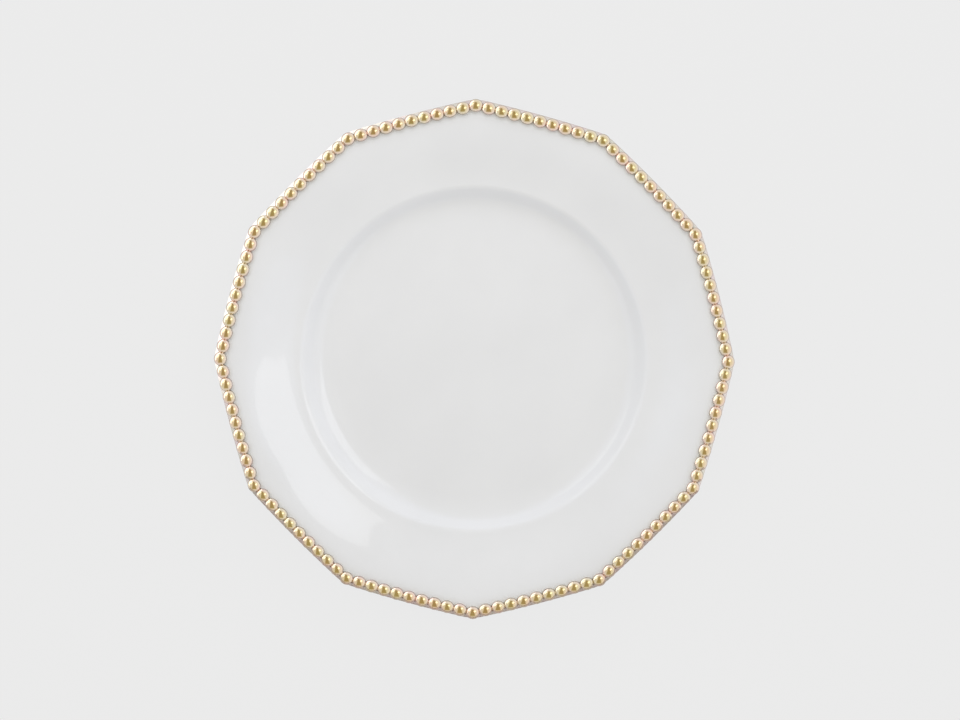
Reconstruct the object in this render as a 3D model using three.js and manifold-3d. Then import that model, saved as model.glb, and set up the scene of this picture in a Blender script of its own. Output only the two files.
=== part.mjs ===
// A dinner plate with twelve slightly bowed sides and a gilded edge of beads.
// The white porcelain body has a flat round well, a cavetto that curves up to a shoulder, and a wide rim
// whose outline turns from a circle into the polygon. A foot ring is luted under the well. A step along the
// rim's edge holds the gilded strips, each with its beads: one strip on every side and one on every corner.
// Millimetres, +Z up. The origin is the centre of the face that the foot ring stands on, and a corner of
// the outline lies on +X.

import * as THREE from "three";
import { mergeVertices } from "three/addons/utils/BufferGeometryUtils.js";
import Module from "manifold-3d";

// Outline
const SIDES = 12;
const SIDE_BOW = 0.8; // how far the middle of a side stands out beyond a straight line between its corners

// Well, cavetto and rim, as a section through the middle of a side
const WELL_RADIUS = 68.5; // the flat floor
const CAVETTO_WIDTH = 17.5; // from the floor to the shoulder, where the cavetto turns over into the rim
const CAVETTO_RISE = 5.6;
const SLOPE_WIDTH = 8; // width of the cavetto's slope, from where its line meets the floor to the shoulder
const SLOPE_CURVE = 3.6; // part of that width that the curve above the floor takes
const SHOULDER_ROUND = 1.6; // length of the rounding on each side of the shoulder
const RIM_WIDTH = 40.05; // from the shoulder to the outer side of the gilded strips
const RIM_RISE = 7; // from the shoulder to the level seat of the beads
const RIM_END_SLOPE = 0.14; // rise over width at both ends of the rim, which is steeper between them
const ROUND_WIDTH = 4; // inner part of the rim whose outline is still a circle
const OUTLINE_EASE = 2.5; // how late across the rest of the rim the outline gets its sides
const WALL = 4.2; // height of the porcelain from underside to top
const EDGE_HEIGHT = 2.3; // upright edge of the body, under the gilded strips
const EDGE_ROUND = 1.2; // bevel under that edge

// Foot ring
const FOOT_HEIGHT = 4.6;
const FOOT_OUTSET = 8.5; // from the edge of the floor to the middle of the ring
const FOOT_FACE = 2.6; // width of the face that it stands on
const FOOT_ROOT = 6.4; // width where it joins the body
const FOOT_ROUND = 0.8; // rounding beside that face
const FOOT_SHELF = 1.5; // flat of the body left outside the root
const FOOT_BLEND = 13; // width over which the underside leaves that flat for the wall

// Gilded beads and the strips that carry them
const BEAD_DIAMETER = 6.44; // of the ball whose upper part makes a bead
const BEAD_HEIGHT = 2.75; // of a bead over the flat that it sits on
const BEAD_GAP = 0.06; // least room between neighbouring beads
const BEAD_SINK = 0.3; // how deep that flat is sunk in the strip
const EDGE_LIP = 0.08; // from the strip's outer face to the beads
const STRIP_WIDTH = 3.7;
const STEP_DEPTH = 1.6; // depth of the step that the strips lie in
const SEAT_MARGIN = 0.6; // level part of the rim inside the beads
const FIT_GAP = 0.3; // room that a strip and its beads keep from the porcelain and from the next strip

// Fineness of the faceted surfaces
const COLUMNS_PER_SIDE = 5;
const CAVETTO_BANDS = 5;
const SHOULDER_BANDS = 3;
const RIM_BANDS = 5;
const UNDERSIDE_BANDS = 9;
const FOOT_ROUND_BANDS = 2;
const STRIP_BENDS = 4;
const BEAD_COLUMNS = 8;
const BEAD_BANDS = 4;

// Levels and distances worked out from the sizes above
const FLOOR_Z = FOOT_HEIGHT + WALL;
const SHOULDER_Z = FLOOR_Z + CAVETTO_RISE;
const SEAT_Z = SHOULDER_Z + RIM_RISE;
const LEDGE_Z = SEAT_Z - STEP_DEPTH;
const BEAD_FLAT_Z = SEAT_Z + FIT_GAP;
const HALF_CORNER = Math.PI / SIDES; // from the middle of a side to a corner
const FOOT_RADIUS = WELL_RADIUS + FOOT_OUTSET;
const SHOULDER_RADIUS = WELL_RADIUS + CAVETTO_WIDTH;
const OUTER = SHOULDER_RADIUS + RIM_WIDTH; // from the axis to the middle of a side
const STRAIGHTNESS = 1 - SIDE_BOW / (OUTER * (1 - Math.cos(HALF_CORNER))); // 1 would be a straight side
const STRIP_INNER = OUTER - STRIP_WIDTH;
const BEAD_RADIUS = BEAD_DIAMETER / 2;
const BEAD_LINE = OUTER - EDGE_LIP - BEAD_RADIUS;
const SEAT_INNER = Math.min(BEAD_LINE - BEAD_RADIUS, STRIP_INNER) - SEAT_MARGIN;
const BEAD_LINE_LENGTH = 2 * (BEAD_LINE - SIDE_BOW) * Math.tan(HALF_CORNER); // from corner to corner
const BEAD_SPACES = Math.floor(BEAD_LINE_LENGTH / (BEAD_DIAMETER + BEAD_GAP));
const BEAD_PITCH = BEAD_LINE_LENGTH / BEAD_SPACES;
const COLUMNS = SIDES * COLUMNS_PER_SIDE;

const wasm = await Module();
wasm.setup();

const glaze = new THREE.MeshStandardMaterial({ color: 0xe3e3e2, roughness: 0.12, metalness: 0 });
const biscuit = new THREE.MeshStandardMaterial({ color: 0xdedad2, roughness: 0.75, metalness: 0 });
const gilding = new THREE.MeshStandardMaterial({ color: 0xd9b56b, roughness: 0.2, metalness: 1 });

function point(across, up) {
  return new THREE.Vector2(across, up);
}

// A geometry whose faces share their corners.
function welded(geometry) {
  geometry.deleteAttribute("normal");
  geometry.deleteAttribute("uv");
  return mergeVertices(geometry);
}

// A closed welded geometry as a solid that can be joined to others.
function solidOf(geometry) {
  return new wasm.Manifold(
    new wasm.Mesh({
      numProp: 3,
      vertProperties: geometry.attributes.position.array,
      triVerts: new Uint32Array(geometry.index.array),
    }),
  );
}

// A solid back as a geometry.
function geometryOf(solid) {
  const mesh = solid.getMesh();
  const geometry = new THREE.BufferGeometry();
  geometry.setAttribute("position", new THREE.BufferAttribute(mesh.vertProperties, 3));
  geometry.setIndex(new THREE.BufferAttribute(mesh.triVerts, 1));
  geometry.computeVertexNormals();
  return geometry;
}

// A profile of (distance from the axis, height) points turned about Z, with its first column on +X.
function turned(profile) {
  return new THREE.LatheGeometry(profile, COLUMNS, Math.PI / 2).rotateX(Math.PI / 2);
}

// The upper surface of the section, from the middle of the floor out to the strips.
function upperSection() {
  const slopeFoot = point(SHOULDER_RADIUS - SLOPE_WIDTH, FLOOR_Z);
  const shoulder = point(SHOULDER_RADIUS, SHOULDER_Z);
  const seat = point(SEAT_INNER, SEAT_Z);
  const rimThird = point(1, RIM_END_SLOPE).multiplyScalar((SEAT_INNER - SHOULDER_RADIUS) / 3);
  const rimLow = shoulder.clone().add(rimThird);
  const rimHigh = seat.clone().sub(rimThird);
  const slopeLow = slopeFoot.clone().lerp(shoulder, SLOPE_CURVE / SLOPE_WIDTH);
  const beforeShoulder = slopeFoot.clone().sub(shoulder).setLength(SHOULDER_ROUND).add(shoulder);
  const afterShoulder = rimThird.clone().setLength(SHOULDER_ROUND).add(shoulder);
  const cavetto = new THREE.QuadraticBezierCurve(point(WELL_RADIUS, FLOOR_Z), slopeFoot, slopeLow);
  const turnOver = new THREE.QuadraticBezierCurve(beforeShoulder, shoulder, afterShoulder);
  const rim = new THREE.CubicBezierCurve(afterShoulder, rimLow, rimHigh, seat);
  return [
    point(0, FLOOR_Z),
    ...cavetto.getPoints(CAVETTO_BANDS),
    ...turnOver.getPoints(SHOULDER_BANDS),
    ...rim.getPoints(RIM_BANDS).slice(1),
    point(STRIP_INNER, SEAT_Z),
  ];
}

// Height of a section at a distance from the axis, along straight lines between its points.
function heightAt(section, distance) {
  const next = section.findIndex((p) => p.x >= distance);
  const [a, b] = [section[next - 1], section[next]];
  return THREE.MathUtils.mapLinear(distance, a.x, b.x, a.y, b.y);
}

// The underside, from the middle out to the edge: flat over the foot ring, then one wall below the top.
function underSection(upper) {
  const flatEnd = FOOT_RADIUS + FOOT_ROOT / 2 + FOOT_SHELF;
  const edgeStart = OUTER - EDGE_ROUND;
  const edgeLow = LEDGE_Z - EDGE_HEIGHT - EDGE_ROUND;
  const section = [point(0, FOOT_HEIGHT), point(flatEnd, FOOT_HEIGHT)];
  for (let band = 1; band <= UNDERSIDE_BANDS; band++) {
    const distance = THREE.MathUtils.lerp(flatEnd, edgeStart, band / UNDERSIDE_BANDS);
    const top = heightAt(upper, Math.min(distance, STRIP_INNER));
    const below = Math.min(top - WALL, edgeLow);
    const blend = THREE.MathUtils.smoothstep(distance, flatEnd, flatEnd + FOOT_BLEND);
    section.push(point(distance, THREE.MathUtils.lerp(FOOT_HEIGHT, below, blend)));
  }
  return section;
}

// How far the outline has turned from a circle into the edge's outline at a distance from the axis.
function outlineShare(distance) {
  const across = THREE.MathUtils.inverseLerp(SHOULDER_RADIUS + ROUND_WIDTH, SEAT_INNER, distance);
  return THREE.MathUtils.clamp(across, 0, 1) ** OUTLINE_EASE;
}

// Moves the vertices of a turned geometry outwards, so that its outer part gets its twelve sides.
function giveSides(geometry) {
  const position = geometry.getAttribute("position");
  for (let i = 0; i < position.count; i++) {
    const [x, y] = [position.getX(i), position.getY(i)];
    const fromCorner = THREE.MathUtils.euclideanModulo(Math.atan2(y, x), 2 * HALF_CORNER);
    const toStraight = 1 / Math.cos(fromCorner - HALF_CORNER);
    const share = STRAIGHTNESS * outlineShare(Math.hypot(x, y));
    const stretch = THREE.MathUtils.lerp(1, toStraight, share);
    position.setXY(i, x * stretch, y * stretch);
  }
  return geometry;
}

function plateBody() {
  const upper = upperSection();
  const edge = [point(OUTER, LEDGE_Z - EDGE_HEIGHT), point(OUTER, LEDGE_Z), point(STRIP_INNER, LEDGE_Z)];
  return giveSides(turned([...underSection(upper), ...edge, ...upper.reverse()]));
}

function footRing() {
  const round = new THREE.Path();
  const [inner, outer] = [FOOT_RADIUS - FOOT_FACE / 2, FOOT_RADIUS + FOOT_FACE / 2];
  const [rootInner, rootOuter] = [FOOT_RADIUS - FOOT_ROOT / 2, FOOT_RADIUS + FOOT_ROOT / 2];
  round.moveTo(rootInner, FOOT_HEIGHT);
  round.lineTo(inner - FOOT_ROUND, FOOT_ROUND);
  round.quadraticCurveTo(inner - FOOT_ROUND / 2, 0, inner, 0);
  round.lineTo(outer, 0);
  round.quadraticCurveTo(outer + FOOT_ROUND / 2, 0, outer + FOOT_ROUND, FOOT_ROUND);
  round.lineTo(rootOuter, FOOT_HEIGHT);
  round.closePath();
  return turned(round.getPoints(FOOT_ROUND_BANDS));
}

// A point on the side next to the corner on +X, by its place along the side and by how far the middle of
// the side is from the axis.
function onSide(distance, along) {
  const bowed = distance - SIDE_BOW * ((2 * along) / BEAD_LINE_LENGTH) ** 2;
  return point(bowed, along).rotateAround(point(0, 0), HALF_CORNER);
}

function atCorner(distance) {
  return point((distance - SIDE_BOW) / Math.cos(HALF_CORNER), 0);
}

function mirrored(place) {
  return point(place.x, -place.y);
}

// The upper part of a ball, with the flat that it sits on at height zero.
function bead() {
  const middle = BEAD_HEIGHT - BEAD_RADIUS;
  const flatEdge = -Math.asin(middle / BEAD_RADIUS);
  const arc = new THREE.EllipseCurve(0, middle, BEAD_RADIUS, BEAD_RADIUS, flatEdge, Math.PI / 2);
  const profile = [point(0, 0), ...arc.getPoints(BEAD_BANDS)];
  return welded(new THREE.LatheGeometry(profile, BEAD_COLUMNS).rotateX(Math.PI / 2));
}

// A strip of the given outline in the step of the rim, joined to the beads that stand along it.
function beadedStrip(outline, places) {
  const depth = STEP_DEPTH + BEAD_SINK;
  const bar = welded(new THREE.ExtrudeGeometry(new THREE.Shape(outline), { depth, bevelEnabled: false }));
  const ball = bead();
  let strip = solidOf(bar.translate(0, 0, LEDGE_Z + FIT_GAP));
  for (const place of places) {
    strip = strip.add(solidOf(ball.clone().translate(place.x, place.y, BEAD_FLAT_Z)));
  }
  return geometryOf(strip);
}

function beadRow() {
  const halfLength = ((BEAD_SPACES - 1) * BEAD_PITCH - FIT_GAP) / 2;
  const outerEdge = [];
  const innerEdge = [];
  for (let bend = 0; bend <= STRIP_BENDS; bend++) {
    const along = THREE.MathUtils.lerp(-halfLength, halfLength, bend / STRIP_BENDS);
    outerEdge.push(onSide(OUTER, along));
    innerEdge.unshift(onSide(STRIP_INNER + FIT_GAP, along));
  }
  const places = [];
  for (let space = 1; space < BEAD_SPACES; space++) {
    places.push(onSide(BEAD_LINE, (space - BEAD_SPACES / 2) * BEAD_PITCH));
  }
  return beadedStrip([...outerEdge, ...innerEdge], places);
}

function cornerBead() {
  const end = -((BEAD_SPACES - 1) * BEAD_PITCH + FIT_GAP) / 2;
  const inner = STRIP_INNER + FIT_GAP;
  const half = [onSide(inner, end), onSide(OUTER, end)];
  const outline = [
    atCorner(OUTER),
    half[1],
    half[0],
    atCorner(inner),
    mirrored(half[0]),
    mirrored(half[1]),
  ];
  return beadedStrip(outline, [atCorner(BEAD_LINE)]);
}

function named(name, geometry, material) {
  const mesh = new THREE.Mesh(geometry, material);
  mesh.name = name;
  return mesh;
}

const plate = new THREE.Group();
plate.add(named("plate_body", plateBody(), glaze));
plate.add(named("foot_ring", footRing(), biscuit));

const rowGeometry = beadRow();
const cornerGeometry = cornerBead();
for (let side = 0; side < SIDES; side++) {
  const number = String(side + 1).padStart(2, "0");
  const sector = new THREE.Group();
  sector.rotation.z = side * 2 * HALF_CORNER;
  sector.add(named(`corner_bead_${number}`, cornerGeometry, gilding));
  sector.add(named(`bead_row_${number}`, rowGeometry, gilding));
  plate.add(sector);
}

export default plate;
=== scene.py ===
import math
import random

import bpy
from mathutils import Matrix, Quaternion, Vector


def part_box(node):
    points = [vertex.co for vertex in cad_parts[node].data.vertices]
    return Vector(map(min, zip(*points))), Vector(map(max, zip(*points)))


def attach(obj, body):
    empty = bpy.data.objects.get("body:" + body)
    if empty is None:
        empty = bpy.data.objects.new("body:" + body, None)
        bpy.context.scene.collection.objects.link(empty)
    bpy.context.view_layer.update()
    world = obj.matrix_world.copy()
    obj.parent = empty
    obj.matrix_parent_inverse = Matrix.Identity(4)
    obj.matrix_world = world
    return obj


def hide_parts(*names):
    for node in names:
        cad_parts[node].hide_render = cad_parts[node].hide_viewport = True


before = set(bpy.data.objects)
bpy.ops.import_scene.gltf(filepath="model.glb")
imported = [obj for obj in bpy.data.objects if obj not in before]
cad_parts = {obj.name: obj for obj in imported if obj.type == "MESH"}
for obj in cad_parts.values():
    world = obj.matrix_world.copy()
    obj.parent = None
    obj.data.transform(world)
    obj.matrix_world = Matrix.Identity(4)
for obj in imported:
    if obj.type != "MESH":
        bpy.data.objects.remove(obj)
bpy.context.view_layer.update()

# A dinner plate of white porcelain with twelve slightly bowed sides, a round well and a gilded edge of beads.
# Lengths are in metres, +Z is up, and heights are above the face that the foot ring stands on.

MM = 0.001

# Outline, from the boxes that the frame gives and the bow of the sides
body_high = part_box("plate_body")[1]
foot_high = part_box("foot_ring")[1]
SIDES = sum(1 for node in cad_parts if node.startswith("bead_row_"))
HALF_CORNER = math.pi / SIDES
SIDE_BOW = 0.8 * MM  # how far the middle of a side stands out beyond a straight line between its corners
OUTER = body_high.x * math.cos(HALF_CORNER) + SIDE_BOW  # from the axis to the middle of a side
STRAIGHTNESS = 1 - SIDE_BOW / (OUTER * (1 - math.cos(HALF_CORNER)))  # 1 would be a straight side
SEAT_Z = body_high.z  # the level edge of the rim, where the beads sit
FOOT_HEIGHT = foot_high.z
FOOT_ROOT_RADIUS = foot_high.x  # outside of the foot ring where it meets the body

# Well, cavetto and rim, as a section through the middle of a side
WELL_RADIUS = 68.5 * MM
WALL_FOOT = 78 * MM  # where the line of the cavetto's wall meets the floor
WALL_CURVE = 0.45  # share of the wall that the curve above the floor takes
SHOULDER_RADIUS = 86 * MM
CAVETTO_RISE = 5.6 * MM
SHOULDER_ROUND = 1.6 * MM
RIM_RISE = 7 * MM
RIM_END_SLOPE = 0.14  # rise over width at both ends of the rim, which is steeper between them
OUTLINE_START = 90 * MM  # inside this the plate is round
OUTLINE_EASE = 2.5  # how late the round outline turns into the polygon
WALL = 4.2 * MM
EDGE_HEIGHT = 2.3 * MM
EDGE_ROUND = 1.2 * MM
STEP_DEPTH = 1.6 * MM
SEAT_MARGIN = 0.6 * MM
CORNER_ROUND = 4 * MM  # how far the outline's corners are rounded along each side

# Foot ring
FOOT_FACE = 2.6 * MM
FOOT_ROOT = 6.4 * MM
FOOT_ROUND = 0.8 * MM
FOOT_SHELF = 1.5 * MM
FOOT_BLEND = 13 * MM

# Gilded strips and beads
BEAD_DIAMETER = 6.44 * MM
BEAD_STRETCH = 1.12  # how much longer a bead is along its row, where it meets the next
BEAD_HEIGHT = 3.05 * MM  # from the seat up to the crown
BEAD_DOME = 2.2 * MM  # from the crown down to the widest part
BEAD_SINK = 1.1 * MM  # from the seat down to the flat underside
BEAD_SPACES = 10
BEAD_SPREAD = 0.012  # how much larger or smaller than usual a bead may be, as a share of its size
EDGE_LIP = 0.08 * MM
STRIP_WIDTH = 3.7 * MM
STRIP_PROUD = 0.1 * MM  # from the seat up to the strip's top
STRIP_SLOPE_WIDTH = 2.7 * MM  # of the slope on the strip's outer half
STRIP_SLOPE_DROP = 1.5 * MM
STRIP_BULGE = 0.04 * MM  # how far that slope is rounded outwards
STRIP_JOINT = 0.04 * MM

# Levels and distances worked out from the sizes above
SHOULDER_Z = SEAT_Z - RIM_RISE
FLOOR_Z = SHOULDER_Z - CAVETTO_RISE
LEDGE_Z = SEAT_Z - STEP_DEPTH
BEAD_RADIUS = BEAD_DIAMETER / 2
BEAD_LINE = OUTER - EDGE_LIP - BEAD_RADIUS
HALF_SIDE = (BEAD_LINE - SIDE_BOW) * math.tan(HALF_CORNER)  # half the line of beads along a side
BEAD_PITCH = 2 * HALF_SIDE / BEAD_SPACES
BEAD_Z = SEAT_Z + BEAD_HEIGHT - BEAD_DOME  # the widest part
STRIP_INNER = OUTER - STRIP_WIDTH
SEAT_INNER = BEAD_LINE - BEAD_RADIUS - SEAT_MARGIN

SEED = 12
chance = random.Random(SEED)


# Small helpers

WELD = 0.002 * MM  # points nearer than this are one point
SMOOTH_ANGLE = math.radians(40)


def smoothstep(value, low, high):
    share = min(max((value - low) / (high - low), 0), 1)
    return share * share * (3 - 2 * share)


def bend(*guides, steps):
    """Points of a curve between its end guides, drawn towards the guides between, less the first point."""
    points = []
    for step in range(1, steps + 1):
        level = guides
        while len(level) > 1:
            level = [first.lerp(last, step / steps) for first, last in zip(level, level[1:])]
        points += level
    return points


def spot(distance, height):
    """A point of a section, at a distance from the axis."""
    return Vector((distance, height))


def edit():
    bpy.ops.object.mode_set(mode="EDIT")


def leave_edit():
    bpy.ops.object.mode_set(mode="OBJECT")


def pick(*objects):
    bpy.ops.object.select_all(action="DESELECT")
    for thing in objects:
        thing.select_set(True)
    bpy.context.view_layer.objects.active = objects[0]


def choose(piece, kind, parts, wanted):
    """Opens a piece in edit mode with only those of its parts selected that are wanted."""
    pick(piece)
    edit()
    bpy.ops.mesh.select_mode(type=kind)
    bpy.ops.mesh.select_all(action="DESELECT")
    leave_edit()
    for part in parts:
        part.select = wanted(part)
    edit()


def finish_mesh(piece, name):
    """Welds the seams, turns the faces outwards and smooths all but the sharp edges."""
    pick(piece)
    edit()
    bpy.ops.mesh.select_all(action="SELECT")
    bpy.ops.mesh.remove_doubles(threshold=WELD)
    bpy.ops.mesh.normals_make_consistent(inside=False)
    leave_edit()
    bpy.ops.object.shade_smooth_by_angle(angle=SMOOTH_ANGLE)
    piece.name = name
    piece.data.name = name
    return piece


# Rings in the plate's outline

SIDE_CUTS = 15
CORNER_SEGMENTS = 4


def start_ring(place):
    """Adds a ring of edges with bowed sides and rounded corners, selected in edit mode, with its reach."""
    bpy.ops.object.select_all(action="DESELECT")
    radius = place.x / math.cos(HALF_CORNER)
    bpy.ops.mesh.primitive_circle_add(vertices=SIDES, radius=radius, fill_type="NGON")
    ring = bpy.context.object
    edit()
    bpy.ops.mesh.select_all(action="SELECT")
    bpy.ops.mesh.bevel(offset=CORNER_ROUND, segments=CORNER_SEGMENTS, affect="VERTICES")
    bpy.ops.mesh.delete(type="ONLY_FACE")
    bpy.ops.mesh.select_all(action="SELECT")
    bpy.ops.transform.translate(value=(0, 0, place.y))
    bpy.ops.mesh.select_all(action="DESELECT")
    leave_edit()
    points = ring.data.vertices
    for side in ring.data.edges:
        first, last = (points[i].co for i in side.vertices)
        side.select = (first - last).length > CORNER_ROUND
    edit()
    bpy.ops.mesh.select_mode(type="EDGE")
    bpy.ops.mesh.subdivide(number_cuts=SIDE_CUTS)
    bpy.ops.mesh.select_all(action="SELECT")
    reach = mean_reach(ring)
    bow = roundness(place.x)
    bpy.ops.transform.tosphere(value=bow)
    fit = 1 / (1 - bow + bow * reach)
    bpy.ops.transform.resize(value=(fit, fit, 1), center_override=(0, 0, 0))
    return ring, reach


def mean_reach(ring):
    """Mean distance of a new ring's points from the axis, over the distance of its sides."""
    leave_edit()
    reaches = [point.co.xy.length for point in ring.data.vertices]
    edit()
    return sum(reaches) / len(reaches) / min(reaches)


def roundness(distance):
    """How far the outline has turned from straight sides into a circle at a distance from the axis."""
    share = min(max((distance - OUTLINE_START) / (SEAT_INNER - OUTLINE_START), 0), 1)
    return 1 - STRAIGHTNESS * share ** OUTLINE_EASE


def extrude_ring(section, reach):
    """Extrudes the selected ring along the section's points, rounding the outline on its way in."""
    for last, place in zip(section, section[1:]):
        was, now = roundness(last.x), roundness(place.x)
        size_was = last.x / (1 - was + was * reach)
        size_now = place.x / (1 - now + now * reach)
        bpy.ops.mesh.extrude_region_move(TRANSFORM_OT_translate={"value": (0, 0, place.y - last.y)})
        grow = size_now / size_was
        bpy.ops.transform.resize(value=(grow, grow, 1), center_override=(0, 0, 0))
        if now > was:
            bpy.ops.transform.tosphere(value=(now - was) / (1 - was))


# Porcelain body

CAVETTO_STEPS = 22
WALL_STEPS = 2
SHOULDER_STEPS = 8
RIM_STEPS = 20
UNDERSIDE_STEPS = 26
EDGE_STEPS = 5
FLOOR_RINGS = (0.9, 0.7, 0.4, 0.15)  # shares of the well's radius
UNDERSIDE_RINGS = (0.95, 0.8, 0.6, 0.35, 0.15)  # shares of the distance where the underside turns flat


def upper_section():
    """The upper surface, from the seat of the beads in to the middle of the floor."""
    seat = spot(SEAT_INNER, SEAT_Z)
    shoulder = spot(SHOULDER_RADIUS, SHOULDER_Z)
    rim_third = spot(1, RIM_END_SLOPE) * (SEAT_INNER - SHOULDER_RADIUS) / 3
    wall_foot = spot(WALL_FOOT, FLOOR_Z)
    after = shoulder + rim_third.normalized() * SHOULDER_ROUND
    before = shoulder + (wall_foot - shoulder).normalized() * SHOULDER_ROUND
    wall_low = wall_foot.lerp(shoulder, WALL_CURVE)
    floor_edge = spot(WELL_RADIUS, FLOOR_Z)
    section = [seat]
    section += bend(seat, seat - rim_third, shoulder + rim_third, after, steps=RIM_STEPS)
    section += bend(after, shoulder, before, steps=SHOULDER_STEPS)
    section += bend(before, wall_low, steps=WALL_STEPS)
    section += bend(wall_low, wall_foot, floor_edge, steps=CAVETTO_STEPS)
    section += [spot(WELL_RADIUS * share, FLOOR_Z) for share in FLOOR_RINGS]
    return section


def height_at(section, distance):
    """Height of the upper surface at a distance from the axis."""
    for outer, inner in zip(section, section[1:]):
        if inner.x <= distance <= outer.x:
            share = (distance - inner.x) / (outer.x - inner.x)
            return inner.y + (outer.y - inner.y) * share
    return section[0].y


def under_section(upper):
    """The edge and the underside, from the ledge of the strips down and in to the middle."""
    flat_end = FOOT_ROOT_RADIUS + FOOT_SHELF
    edge_low = spot(OUTER, LEDGE_Z - EDGE_HEIGHT)
    under_edge = spot(OUTER - EDGE_ROUND, LEDGE_Z - EDGE_HEIGHT - EDGE_ROUND)
    corner = spot(OUTER, under_edge.y)
    section = [spot(OUTER, LEDGE_Z), edge_low, *bend(edge_low, corner, under_edge, steps=EDGE_STEPS)]
    for step in range(1, UNDERSIDE_STEPS + 1):
        distance = under_edge.x + (flat_end - under_edge.x) * step / UNDERSIDE_STEPS
        below = min(height_at(upper, distance) - WALL, under_edge.y)
        blend = smoothstep(distance, flat_end, flat_end + FOOT_BLEND)
        section.append(spot(distance, FOOT_HEIGHT + (below - FOOT_HEIGHT) * blend))
    section += [spot(flat_end * share, FOOT_HEIGHT) for share in UNDERSIDE_RINGS]
    return section


def porcelain_body():
    """The ledge and the upper surface, and then the underside from the ledge's open outer edge."""
    upper = upper_section()
    ledge = [spot(OUTER, LEDGE_Z), spot(STRIP_INNER, LEDGE_Z), spot(STRIP_INNER, SEAT_Z)]
    body, reach = start_ring(ledge[0])
    extrude_ring(ledge + upper, reach)
    bpy.ops.mesh.edge_face_add()
    bpy.ops.mesh.select_mode(type="EDGE")
    bpy.ops.mesh.select_non_manifold(
        extend=False,
        use_wire=False,
        use_boundary=True,
        use_multi_face=False,
        use_non_contiguous=False,
        use_verts=False,
    )
    extrude_ring(under_section(upper), reach)
    bpy.ops.mesh.edge_face_add()
    leave_edit()
    return finish_mesh(body, "porcelain_body")


# Foot ring

FOOT_STEPS = 6
FOOT_COLUMNS = 192
BARE_FACE = -0.6  # faces of the foot ring that look down more than this have no glaze


def foot_profile():
    """The foot ring's closed section, from the inside of its root down, out and up again."""
    middle = FOOT_ROOT_RADIUS - FOOT_ROOT / 2
    root_in = spot(middle - FOOT_ROOT / 2, FOOT_HEIGHT)
    root_out = spot(middle + FOOT_ROOT / 2, FOOT_HEIGHT)
    face_in = spot(middle - FOOT_FACE / 2, 0)
    face_out = spot(middle + FOOT_FACE / 2, 0)
    side_in = spot(face_in.x - FOOT_ROUND, FOOT_ROUND)
    side_out = spot(face_out.x + FOOT_ROUND, FOOT_ROUND)
    knee_in = spot(side_in.x + FOOT_ROUND / 2, 0)
    knee_out = spot(side_out.x - FOOT_ROUND / 2, 0)
    profile = [root_in, side_in]
    profile += bend(side_in, knee_in, face_in, steps=FOOT_STEPS)
    profile += [face_out]
    profile += bend(face_out, knee_out, side_out, steps=FOOT_STEPS)
    profile += [root_out, root_in]
    return profile


def porcelain_foot():
    """The foot ring, spun from its section."""
    profile = foot_profile()
    bpy.ops.object.select_all(action="DESELECT")
    bpy.ops.mesh.primitive_plane_add(size=FOOT_FACE)
    foot = bpy.context.object
    edit()
    bpy.ops.mesh.select_mode(type="VERT")
    bpy.ops.mesh.select_all(action="SELECT")
    bpy.ops.mesh.merge(type="CENTER")
    bpy.ops.transform.translate(value=(profile[0].x, 0, profile[0].y))
    for last, place in zip(profile, profile[1:]):
        move = (place.x - last.x, 0, place.y - last.y)
        bpy.ops.mesh.extrude_region_move(TRANSFORM_OT_translate={"value": move})
    bpy.ops.mesh.select_all(action="SELECT")
    bpy.ops.mesh.spin(steps=FOOT_COLUMNS, angle=2 * math.pi, center=(0, 0, 0), axis=(0, 0, 1))
    leave_edit()
    return finish_mesh(foot, "porcelain_foot")


def leave_bare(foot, bare):
    """Gives the face that the plate stands on the bare finish."""
    foot.data.materials.append(bare)
    choose(foot, "FACE", foot.data.polygons, lambda face: face.normal.z < BARE_FACE)
    foot.active_material_index = foot.data.materials.find(bare.name)
    bpy.ops.object.material_slot_assign()
    leave_edit()


# Gilded strips

STRIP_STEPS = 10


def gilded_band():
    """The whole gilded band round the edge, before it is cut into strips."""
    top = SEAT_Z + STRIP_PROUD
    inner = STRIP_INNER + STRIP_JOINT
    start = spot(inner, LEDGE_Z)
    shelf = spot(OUTER - STRIP_SLOPE_WIDTH, top)
    face = spot(OUTER, top - STRIP_SLOPE_DROP)
    knee = (shelf + face) / 2 + spot(STRIP_BULGE, STRIP_BULGE)
    profile = [start, spot(inner, top), shelf]
    profile += bend(shelf, knee, face, steps=STRIP_STEPS)
    profile += [spot(OUTER, LEDGE_Z), start]
    band, reach = start_ring(start)
    extrude_ring(profile, reach)
    leave_edit()
    return finish_mesh(band, "gilded_band")


def copy_of(piece):
    pick(piece)
    bpy.ops.object.duplicate()
    return bpy.context.object


def cut_off(piece, place, direction):
    """Cuts a piece on a plane and closes it, keeping what lies against the direction."""
    pick(piece)
    edit()
    bpy.ops.mesh.select_all(action="SELECT")
    bpy.ops.mesh.bisect(plane_co=place, plane_no=direction, use_fill=True, clear_outer=True)
    leave_edit()


def side_way(turn):
    """The direction along the side whose middle is turned by that angle from +X."""
    return Vector((-math.sin(turn), math.cos(turn), 0))


def side_joints(turn):
    """The two planes that end the strip next to the corner at that angle, as places and directions."""
    along = side_way(turn + HALF_CORNER)
    reach = (BEAD_SPACES - 1) * BEAD_PITCH / 2 - STRIP_JOINT / 2
    return [(along * reach, along), (-along * reach, -along)]


def corner_joints(turn):
    """The two planes that end the corner piece at that angle, as places and directions."""
    before, after = side_way(turn - HALF_CORNER), side_way(turn + HALF_CORNER)
    reach = (BEAD_SPACES - 1) * BEAD_PITCH / 2 + STRIP_JOINT / 2
    return [(before * reach, -before), (-after * reach, after)]


def side_strip(band):
    strip = copy_of(band)
    cut_off(strip, (0, 0, 0), -Vector((math.cos(HALF_CORNER), math.sin(HALF_CORNER), 0)))
    for joint in side_joints(0):
        cut_off(strip, *joint)
    return strip


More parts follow.
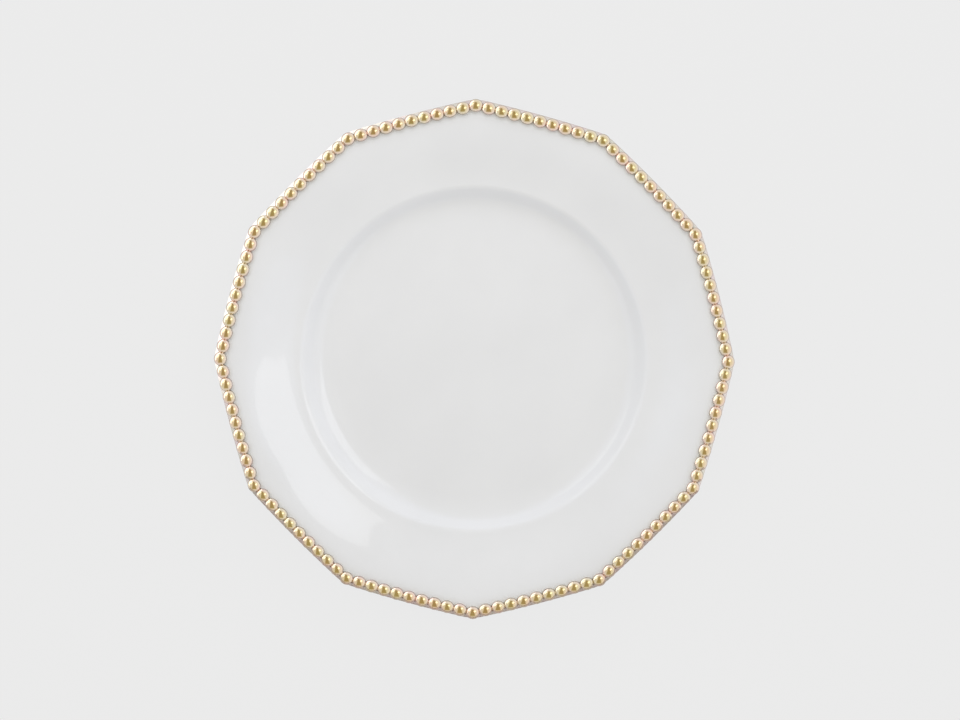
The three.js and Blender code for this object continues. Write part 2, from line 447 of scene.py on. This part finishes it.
def corner_strip(band):
    strip = copy_of(band)
    for joint in corner_joints(0):
        cut_off(strip, *joint)
    return strip


# Gilded beads

BEAD_COLUMNS = 20
BEAD_RINGS = 16  # of the whole ball, before its underside is cut off
BEAD_SMOOTH_ANGLE = math.radians(20)


def gilded_bead():
    """One bead: a flattened ball, cut flat where it sinks into the strip."""
    bpy.ops.object.select_all(action="DESELECT")
    bpy.ops.mesh.primitive_uv_sphere_add(
        segments=BEAD_COLUMNS,
        ring_count=BEAD_RINGS,
        radius=BEAD_RADIUS,
        scale=(1, 1, BEAD_DOME / BEAD_RADIUS),
    )
    bead = bpy.context.object
    bpy.ops.object.transform_apply(location=True, rotation=True, scale=True)
    cut_off(bead, (0, 0, BEAD_DOME - BEAD_HEIGHT - BEAD_SINK), (0, 0, -1))
    return bead


def set_bead(bead, place, turn):
    """A copy of the bead at a place, a little larger or smaller than the last and turned along its row."""
    copy = copy_of(bead)
    size = 1 + chance.uniform(-BEAD_SPREAD, BEAD_SPREAD)
    copy.location = (place.x, place.y, BEAD_Z)
    copy.scale = (size, size * BEAD_STRETCH, 1)
    copy.rotation_euler = (0, 0, turn)
    bpy.ops.object.transform_apply(location=True, rotation=True, scale=True)
    return copy


def on_side(turn, distance, along):
    """A place on the side whose middle is turned by that angle from +X."""
    outwards = Vector((math.cos(turn), math.sin(turn), 0))
    return outwards * distance + side_way(turn) * along


def bead_place(turn, spaces):
    """Place of the bead that many spaces from the middle of a side, on the bowed line of beads."""
    along = spaces * BEAD_PITCH
    return on_side(turn, BEAD_LINE - SIDE_BOW * (along / HALF_SIDE) ** 2, along)


def beaded_strip(strip, turn, bead, bead_turn, places, joints, name):
    """A strip turned to its place on the edge and joined to its beads, which end at its joints as it does."""
    bar = copy_of(strip)
    bar.rotation_euler = (0, 0, turn)
    bpy.ops.object.transform_apply(location=True, rotation=True, scale=True)
    beads = [set_bead(bead, place, bead_turn) for place in places]
    for end_bead in dict.fromkeys((beads[0], beads[-1])):
        for joint in joints:
            cut_off(end_bead, *joint)
    pick(bar, *beads)
    bpy.ops.object.join()
    bpy.ops.object.shade_smooth_by_angle(angle=BEAD_SMOOTH_ANGLE)
    bar.name = name
    bar.data.name = name
    return bar


def gilded_edge():
    """Every side's row of beads and every corner's bead, as (piece, node) pairs."""
    band = gilded_band()
    row_strip, bent_strip = side_strip(band), corner_strip(band)
    bead = gilded_bead()
    pieces = []
    for side in range(SIDES):
        turn = side * 2 * HALF_CORNER
        number = f"{side + 1:02d}"
        middle = turn + HALF_CORNER
        places = [bead_place(middle, space - BEAD_SPACES / 2) for space in range(1, BEAD_SPACES)]
        row = beaded_strip(row_strip, turn, bead, middle, places, side_joints(turn), f"gilded_row_{number}")
        pieces.append((row, f"bead_row_{number}"))
        tip = on_side(turn, (BEAD_LINE - SIDE_BOW) / math.cos(HALF_CORNER), 0)
        joints = corner_joints(turn)
        corner = beaded_strip(bent_strip, turn, bead, turn, [tip], joints, f"gilded_corner_{number}")
        pieces.append((corner, f"corner_bead_{number}"))
    for start in (band, row_strip, bent_strip, bead):
        bpy.data.objects.remove(start)
    return pieces


# Steps that the finishes share

def new_finish(name):
    """A new material with its nodes and its shader."""
    material = bpy.data.materials.new(name)
    material.use_nodes = True
    return material, material.node_tree, material.node_tree.nodes["Principled BSDF"]


def set_sockets(node, **values):
    """Sets a node's sockets, whose names have a space where the values' names have an underscore."""
    for name, value in values.items():
        node.inputs[name.replace("_", " ")].default_value = value


def noise(tree, where, scale, detail, roughness):
    """A cloudy pattern that stays with the object."""
    pattern = tree.nodes.new("ShaderNodeTexNoise")
    set_sockets(pattern, Scale=scale, Detail=detail, Roughness=roughness)
    tree.links.new(where.outputs["Object"], pattern.inputs["Vector"])
    return pattern.outputs["Fac"]


def two_tones(tree, pattern, spread, low, high):
    """A blend of two colours where a pattern lies within the spread on either side of its middle value."""
    ramp = tree.nodes.new("ShaderNodeValToRGB")
    first, last = ramp.color_ramp.elements
    first.position = 0.5 - spread
    first.color = low
    last.position = 0.5 + spread
    last.color = high
    tree.links.new(pattern, ramp.inputs["Fac"])
    return ramp.outputs["Color"]


def uneven_gloss(tree, pattern, shader, smoothest, roughest):
    gloss = tree.nodes.new("ShaderNodeMapRange")
    set_sockets(gloss, To_Min=smoothest, To_Max=roughest)
    tree.links.new(pattern, gloss.inputs["Value"])
    tree.links.new(gloss.outputs["Result"], shader.inputs["Roughness"])


def relief(tree, pattern, shader, strength, depth):
    bump = tree.nodes.new("ShaderNodeBump")
    set_sockets(bump, Strength=strength, Distance=depth)
    tree.links.new(pattern, bump.inputs["Height"])
    tree.links.new(bump.outputs["Normal"], shader.inputs["Normal"])


def reckon(tree, kind, first, second):
    """A sum on two values, each a number or another node's value."""
    node = tree.nodes.new("ShaderNodeMath")
    node.operation = kind
    for socket, value in zip(node.inputs, (first, second)):
        if isinstance(value, (int, float)):
            socket.default_value = value
        else:
            tree.links.new(value, socket)
    return node.outputs["Value"]


def mix_shaders(tree, share, first, second, output):
    """Shows the second shader in place of the first, as far as the share says."""
    mix = tree.nodes.new("ShaderNodeMixShader")
    tree.links.new(share, mix.inputs["Fac"])
    tree.links.new(first, mix.inputs[1])
    tree.links.new(second, mix.inputs[2])
    tree.links.new(mix.outputs["Shader"], tree.nodes[output].inputs["Surface"])


# Finishes of the plate

GLAZE_IOR = 1.5
GLAZE_SHADED = (0.765, 0.771, 0.788, 1)
GLAZE_LIGHT = (0.787, 0.793, 0.81, 1)
BISCUIT_ROUGHNESS = 0.8
BISCUIT_SHADED = (0.62, 0.59, 0.53, 1)
BISCUIT_LIGHT = (0.72, 0.69, 0.63, 1)

# Colours of the gold by height above the seat: the strip, darkened along its lower edge as painted shade, a
# bead up to its widest part, a dark ring just above that as painted shade and painted dark reflection, the
# pale flank and the yellow crown
GOLD_AND_PAINTED_SHADE_BY_HEIGHT = (
    # painted shade: the strip darkens towards its lower edge
    (-1.3 * MM, (0.66, 0.58, 0.54, 1)),
    (-1.1 * MM, (0.77, 0.7, 0.66, 1)),
    (0.1 * MM, (0.77, 0.7, 0.66, 1)),
    (0.3 * MM, (0.78, 0.65, 0.47, 1)),
    (0.9 * MM, (0.78, 0.65, 0.47, 1)),
    # painted shade and painted dark reflection: a dark ring round each bead just above its widest part
    (1.15 * MM, (0.48, 0.4, 0.36, 1)),
    (1.55 * MM, (0.48, 0.4, 0.36, 1)),
    (1.85 * MM, (0.9, 0.77, 0.69, 1)),
    (2.3 * MM, (0.85, 0.7, 0.56, 1)),
    (2.85 * MM, (0.8, 0.63, 0.38, 1)),
)
GOLD_LOW = -1.4 * MM  # the gold lies between these two heights
GOLD_HIGH = 3.1 * MM
GOLD_ROSY = (1.0, 0.93, 0.93, 1)
GOLD_GREEN = (0.95, 1.0, 0.9, 1)


def white_glaze():
    """Glossy white glaze, faintly clouded and rippled."""
    material, tree, shader = new_finish("white_glaze")
    set_sockets(shader, IOR=GLAZE_IOR)
    where = tree.nodes.new("ShaderNodeTexCoord")
    cloud = noise(tree, where, scale=28, detail=3, roughness=0.5)
    tint = two_tones(tree, cloud, spread=0.2, low=GLAZE_SHADED, high=GLAZE_LIGHT)
    tree.links.new(tint, shader.inputs["Base Color"])
    uneven_gloss(tree, cloud, shader, smoothest=0.025, roughest=0.06)
    ripple = noise(tree, where, scale=60, detail=2, roughness=0.4)
    relief(tree, ripple, shader, strength=0.15, depth=0.1 * MM)
    return material


def foot_biscuit():
    """Bare porcelain, matt and fine-grained."""
    material, tree, shader = new_finish("foot_biscuit")
    set_sockets(shader, Roughness=BISCUIT_ROUGHNESS)
    where = tree.nodes.new("ShaderNodeTexCoord")
    grain = noise(tree, where, scale=900, detail=4, roughness=0.6)
    tint = two_tones(tree, grain, spread=0.15, low=BISCUIT_SHADED, high=BISCUIT_LIGHT)
    tree.links.new(tint, shader.inputs["Base Color"])
    relief(tree, grain, shader, strength=0.4, depth=0.05 * MM)
    return material


# Gold colours by height, with painted shade in a dark ring on each bead and along the strip's lower edge
def gold_and_painted_shade_by_height(tree, where):
    split = tree.nodes.new("ShaderNodeSeparateXYZ")
    tree.links.new(where.outputs["Object"], split.inputs["Vector"])
    height = tree.nodes.new("ShaderNodeMapRange")
    set_sockets(height, From_Min=SEAT_Z + GOLD_LOW, From_Max=SEAT_Z + GOLD_HIGH)
    tree.links.new(split.outputs["Z"], height.inputs["Value"])
    ramp = tree.nodes.new("ShaderNodeValToRGB")
    stops = ramp.color_ramp.elements
    stops.remove(stops[1])
    stops[0].position = 0
    stops[0].color = GOLD_AND_PAINTED_SHADE_BY_HEIGHT[0][1]
    for level, colour in GOLD_AND_PAINTED_SHADE_BY_HEIGHT:
        stops.new((level - GOLD_LOW) / (GOLD_HIGH - GOLD_LOW)).color = colour
    tree.links.new(height.outputs["Result"], ramp.inputs["Fac"])
    return ramp.outputs["Color"]


def gilding():
    """Burnished gold: yellow on a bead's crown and paler on its flank, with painted shade and painted dark
    reflection in a dark ring just above its widest part and painted shade along the strip's lower edge.
    """
    material, tree, shader = new_finish("gilding")
    set_sockets(shader, Metallic=1.0)
    where = tree.nodes.new("ShaderNodeTexCoord")
    patch = noise(tree, where, scale=150, detail=2, roughness=0.5)
    colour = tree.nodes.new("ShaderNodeMix")
    colour.data_type = "RGBA"
    colour.blend_type = "MULTIPLY"
    set_sockets(colour, Factor=1)
    tree.links.new(gold_and_painted_shade_by_height(tree, where), colour.inputs["A"])
    tint = two_tones(tree, patch, spread=0.15, low=GOLD_ROSY, high=GOLD_GREEN)
    tree.links.new(tint, colour.inputs["B"])
    tree.links.new(colour.outputs["Result"], shader.inputs["Base Color"])
    uneven_gloss(tree, patch, shader, smoothest=0.08, roughest=0.2)
    grain = noise(tree, where, scale=900, detail=3, roughness=0.5)
    relief(tree, grain, shader, strength=0.12, depth=0.05 * MM)
    return material


# Floor of the stage

FLOOR_SIZE = 8
PAPER_ROUGHNESS = 0.9
BACKGROUND = (0.831, 0.831, 0.831, 1)
FLOOR_GLOW = 0.95  # how much the lit paper outshines the plate's shadow


def floor_paper():
    """Pale paper that glows where it is seen or mirrored, and otherwise only reflects."""
    material, tree, shader = new_finish("floor_paper")
    set_sockets(shader, Base_Color=BACKGROUND, Roughness=PAPER_ROUGHNESS)
    glow = tree.nodes.new("ShaderNodeEmission")
    set_sockets(glow, Color=BACKGROUND, Strength=1.0)
    rays = tree.nodes.new("ShaderNodeLightPath").outputs
    mirrored = reckon(tree, "MAXIMUM", rays["Is Glossy Ray"], rays["Is Transmission Ray"])
    seen = reckon(tree, "MAXIMUM", rays["Is Camera Ray"], mirrored)
    share = reckon(tree, "MULTIPLY", seen, FLOOR_GLOW)
    mix_shaders(tree, share, shader.outputs["BSDF"], glow.outputs["Emission"], "Material Output")
    return material


def floor():
    bpy.ops.object.select_all(action="DESELECT")
    bpy.ops.mesh.primitive_plane_add(size=FLOOR_SIZE)
    ground = bpy.context.object
    ground.name = "floor"
    ground.data.materials.append(floor_paper())


# Light of the stage

TENT = 0.935  # brightness of the tent's walls
TENT_COLOUR = (0.98, 1.0, 1.05, 1)
TENT_LEAN = 0.09  # how much brighter the tent is towards the right of the picture
SLOT_COLOUR = (0.46, 0.4, 0.24, 1)  # the dark room seen through the slot that the camera looks through
SLOT_MIDDLE = -0.04  # to the left of the picture
SLOT_HALF = 0.32  # half the slot's width overhead
SLOT_FLARE = 0.2  # how much wider the slot gets towards the bottom of the picture
SLOT_TOP = 0.72  # where the slot ends towards the top of the picture
SLOT_BOTTOM = 0.72  # where it ends towards the bottom
SLOT_SOFT = 0.05
SLOT_FADE = 0.12  # how softly it ends towards the bottom

CARD_RADIUS = 0.165
CARD_HEIGHT = 0.048
CARD_COLUMNS = 72
CARD_END = -0.07  # the card curves round the part of the plate below this
CARD_GREY = (0.58, 0.54, 0.53, 1)


def fade_out(tree, value, place, softness):
    """1 where a value is below a place and 0 where it is above, with a soft change between."""
    node = tree.nodes.new("ShaderNodeMapRange")
    node.interpolation_type = "SMOOTHSTEP"
    set_sockets(node, From_Min=place - softness, From_Max=place + softness, To_Min=1, To_Max=0)
    tree.links.new(value, node.inputs["Value"])
    return node.outputs["Result"]


def slot(tree, across, along):
    """The tent's slot: 1 inside it and 0 on the walls."""
    from_middle = reckon(tree, "ABSOLUTE", reckon(tree, "SUBTRACT", across, SLOT_MIDDLE), 0)
    aside = reckon(tree, "ADD", from_middle, reckon(tree, "MULTIPLY", along, SLOT_FLARE))
    sides = fade_out(tree, aside, SLOT_HALF, SLOT_SOFT)
    top_end = fade_out(tree, along, SLOT_TOP, SLOT_SOFT)
    bottom_end = fade_out(tree, reckon(tree, "MULTIPLY", along, -1), SLOT_BOTTOM, SLOT_FADE)
    return reckon(tree, "MULTIPLY", sides, reckon(tree, "MULTIPLY", top_end, bottom_end))


def tent():
    """A white tent with a dark slot overhead that widens towards the bottom of the picture."""
    world = bpy.data.worlds.new("tent")
    world.use_nodes = True
    tree = world.node_tree
    where = tree.nodes.new("ShaderNodeTexCoord")
    split = tree.nodes.new("ShaderNodeSeparateXYZ")
    tree.links.new(where.outputs["Generated"], split.inputs["Vector"])
    across, along = split.outputs["X"], split.outputs["Y"]
    wall = tree.nodes["Background"]
    set_sockets(wall, Color=TENT_COLOUR)
    brightness = reckon(tree, "ADD", reckon(tree, "MULTIPLY", across, TENT * TENT_LEAN), TENT)
    tree.links.new(brightness, wall.inputs["Strength"])
    room = tree.nodes.new("ShaderNodeBackground")
    set_sockets(room, Color=SLOT_COLOUR, Strength=1.0)
    dark = slot(tree, across, along)
    mix_shaders(tree, dark, wall.outputs["Background"], room.outputs["Background"], "World Output")
    bpy.context.scene.world = world


def softbox(name, angles, distance, size, radiance, spin=0):
    """A lamp that looks at the plate, placed by its angles round the axis and from straight above."""
    turn, lean = (math.radians(angle) for angle in angles)
    width, height = size
    lamp = bpy.data.lights.new(name, "AREA")
    lamp.shape = "RECTANGLE"
    lamp.size = width
    lamp.size_y = height
    lamp.energy = radiance * math.pi * width * height
    box = bpy.data.objects.new(name, lamp)
    bpy.context.scene.collection.objects.link(box)
    towards = Vector((math.cos(turn) * math.sin(lean), math.sin(turn) * math.sin(lean), math.cos(lean)))
    box.location = towards * distance
    aim = towards.to_track_quat("Z", "Y") @ Quaternion((0, 0, 1), math.radians(spin))
    box.rotation_euler = aim.to_euler()
    box.visible_camera = False
    return box


def lamps():
    """Two softboxes, a near one that shows in no reflection and a strip that shows in reflections alone."""
    softbox("softbox_right", angles=(26, 24.5), distance=1.3, size=(0.41, 0.56), radiance=1.2, spin=10)
    softbox("softbox_left", angles=(147, 46.8), distance=1.3, size=(0.75, 0.5), radiance=1.0)
    near = softbox("softbox_top", angles=(81, 52), distance=0.7, size=(0.7, 0.4), radiance=1.42)
    near.visible_glossy = False
    edge = softbox("strip_left", angles=(149, 73), distance=0.5, size=(0.9, 0.22), radiance=1.2)
    edge.visible_diffuse = False


def card():
    """A low grey card that curves round the lower part of the plate and shows only in the gold."""
    bpy.ops.object.select_all(action="DESELECT")
    bpy.ops.mesh.primitive_cylinder_add(
        vertices=CARD_COLUMNS,
        radius=CARD_RADIUS,
        depth=CARD_HEIGHT,
        end_fill_type="NOTHING",
        location=(0, 0, CARD_HEIGHT / 2),
    )
    curved = bpy.context.object
    curved.name = "card"
    bpy.ops.object.transform_apply(location=True, rotation=True, scale=True)
    choose(curved, "VERT", curved.data.vertices, lambda point: point.co.y > CARD_END)
    bpy.ops.mesh.delete(type="VERT")
    leave_edit()
    curved.visible_camera = False
    curved.visible_diffuse = False
    curved.visible_shadow = False
    material, _, shader = new_finish("card_grey")
    set_sockets(shader, Base_Color=CARD_GREY, Roughness=PAPER_ROUGHNESS)
    curved.data.materials.append(material)


# Camera

PHOTO_WIDTH = 960
PHOTO_HEIGHT = 720
PLATE_PIXEL = (475.2, 360.25)  # middle of the plate in the photograph
PIXEL = 0.4975 * MM  # what one pixel covers at the height of the beads
CAMERA_DISTANCE = 1.35
SENSOR = 36  # in millimetres, as is the lens
ROLL = math.radians(0.36)
TILT = math.radians(-3)  # the camera leans over from the top of the picture


def camera():
    lens = bpy.data.cameras.new("camera")
    view = bpy.data.objects.new("camera", lens)
    bpy.context.scene.collection.objects.link(view)
    lens.sensor_width = SENSOR
    lens.lens = SENSOR * CAMERA_DISTANCE / (PHOTO_WIDTH * PIXEL)
    view.location = (
        (PHOTO_WIDTH / 2 - PLATE_PIXEL[0]) * PIXEL,
        (PLATE_PIXEL[1] - PHOTO_HEIGHT / 2) * PIXEL - CAMERA_DISTANCE * math.sin(TILT),
        SEAT_Z + CAMERA_DISTANCE * math.cos(TILT),
    )
    view.rotation_euler = (TILT, 0, ROLL)
    bpy.context.scene.camera = view


# Everything put together

glaze, biscuit, gold = white_glaze(), foot_biscuit(), gilding()

body = porcelain_body()
body.data.materials.append(glaze)
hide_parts("plate_body")
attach(body, "root")

foot = porcelain_foot()
foot.data.materials.append(glaze)
leave_bare(foot, biscuit)
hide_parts("foot_ring")
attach(foot, "root")

for piece, node in gilded_edge():
    piece.data.materials.append(gold)
    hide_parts(node)
    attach(piece, "root")

floor()
tent()
card()
lamps()
camera()
bpy.context.scene.view_settings.view_transform = "Standard"
